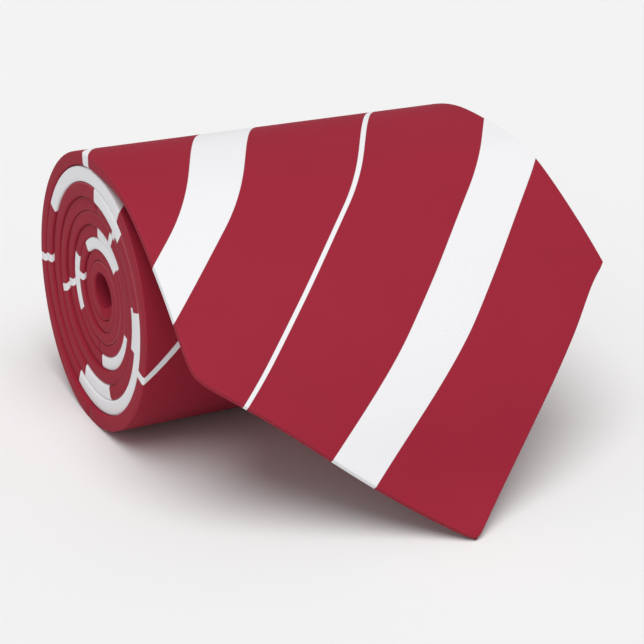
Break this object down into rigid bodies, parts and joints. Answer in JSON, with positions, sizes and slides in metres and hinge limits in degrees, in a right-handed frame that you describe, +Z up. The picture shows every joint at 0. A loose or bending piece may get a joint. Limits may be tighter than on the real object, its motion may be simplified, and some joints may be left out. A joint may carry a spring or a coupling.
{
  "type": "necktie",
  "caption": "Rolled silk necktie lying on its side, wide pointed end drawn over the roll and down in front, crimson with white diagonal stripes.",
  "frame": {"origin": "on the resting surface, under the middle of the whole outline", "axes": "+X along the roll's axis, -Y the way the pointed end reaches, +Z up"},
  "size_m": [0.1015, 0.1216, 0.0637],
  "materials": {
    "silk_twill": "woven silk twill in crimson with white bias stripes, soft sheen",
    "interlining": "brushed wool interlining, matt",
    "lining": "smooth crimson lining satin",
    "sewing_thread": "spun crimson sewing thread",
    "bar_tack_thread": "dense crimson bar tack",
    "tag_cloth": "blank white woven tape",
    "tag_thread": "white sewing thread"
  },
  "bodies": {
    "roll": {"blade_outer_wrap": "silk_twill", "blade_inner_wraps": "silk_twill", "neck_cloth": "silk_twill", "tail_cloth": "silk_twill", "interlining_rolled": "interlining", "tail_tipping": "lining", "slip_stitch_rolled": "sewing_thread", "blade_neck_seam": "sewing_thread", "neck_tail_seam": "sewing_thread", "keeper_loop": "silk_twill", "keeper_stitches": "sewing_thread", "care_tag": "tag_cloth", "care_tag_stitches": "tag_thread", "tail_bar_tack": "bar_tack_thread"},
    "blade_end": {"blade_loose_end": "silk_twill", "interlining_end": "interlining", "blade_tipping": "lining", "tipping_stitches": "sewing_thread", "slip_stitch_end": "sewing_thread", "blade_bar_tack": "bar_tack_thread", "slack_thread": "sewing_thread"}
  },
  "joints": [
    {"name": "blade_lift", "type": "hinge", "parent": "roll", "child": "blade_end", "pos_m": [0, 0.02865, 0.06375], "axis": [-1, 0, 0], "range_deg": [0, 60]}
  ]
}
